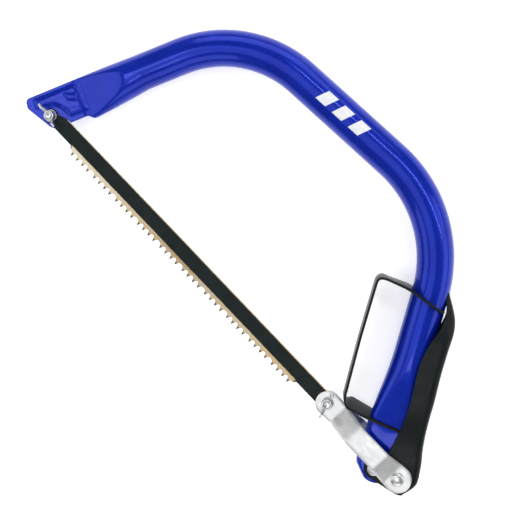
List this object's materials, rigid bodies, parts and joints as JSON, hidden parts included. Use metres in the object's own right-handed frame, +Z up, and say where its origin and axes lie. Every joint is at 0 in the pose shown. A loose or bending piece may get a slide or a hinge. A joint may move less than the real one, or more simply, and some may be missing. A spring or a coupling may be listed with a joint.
{
  "type": "bow saw",
  "caption": "Tubular steel bow saw with an over-centre tension lever, joggled link plates, a bolted peg-tooth blade and a strip knuckle guard",
  "frame": {"origin": "Bottom centre of the bounding box, with the saw lying flat on its side.", "axes": "+X runs along the blade from the nose to the handle, +Y from the teeth to the bow, +Z up from the surface, towards the wing nuts."},
  "size_m": [0.391, 0.1832, 0.0326],
  "materials": {
    "blue_enamel": "glossy royal blue powder coat",
    "black_paint": "semi-gloss black paint",
    "zinc_plate": "bright zinc plating",
    "blade_black": "satin black lacquer with a bare, straw-coloured hardened tooth margin"
  },
  "bodies": {
    "frame": {"frame_tube": "blue_enamel", "knuckle_guard": "black_paint", "front_bolt": "zinc_plate", "front_washer": "zinc_plate", "lever_pivot_pin": "zinc_plate", "pivot_bush_front": "zinc_plate", "pivot_bush_back": "zinc_plate"},
    "lever": {"lever_channel": "black_paint", "link_rivet": "zinc_plate", "link_spacer": "zinc_plate"},
    "link": {"link_plate_front": "zinc_plate", "link_plate_back": "zinc_plate", "rear_bolt": "zinc_plate", "rear_washer": "zinc_plate"},
    "blade": {"blade": "blade_black"},
    "front_nut": {"front_wing_nut": "zinc_plate"},
    "rear_nut": {"rear_wing_nut": "zinc_plate"}
  },
  "joints": [
    {"name": "lever_swing", "type": "hinge", "parent": "frame", "child": "lever", "pos_m": [0.16618, -0.08012, 0.0163], "axis": [0, 0, -1], "range_deg": [0, 90]},
    {"name": "link_swing", "type": "hinge", "parent": "lever", "child": "link", "pos_m": [0.18213, -0.07312, 0.0163], "axis": [0, 0, 1], "range_deg": [0, 112]},
    {"name": "blade_swing", "type": "hinge", "parent": "frame", "child": "blade", "pos_m": [-0.17427, -0.07312, 0.0163], "axis": [0, 0, -1], "range_deg": [0, 10]},
    {"name": "front_nut_spin", "type": "hinge", "parent": "frame", "child": "front_nut", "pos_m": [-0.17427, -0.07312, 0.0163], "axis": [0, 0, 1], "continuous": true},
    {"name": "rear_nut_spin", "type": "hinge", "parent": "link", "child": "rear_nut", "pos_m": [0.11133, -0.07312, 0.0163], "axis": [0, 0, 1], "continuous": true}
  ],
  "couplings": [
    {"joint": "link_swing", "follows": "lever_swing", "ratio": 1.236},
    {"joint": "blade_swing", "follows": "lever_swing", "ratio": 0.108}
  ]
}
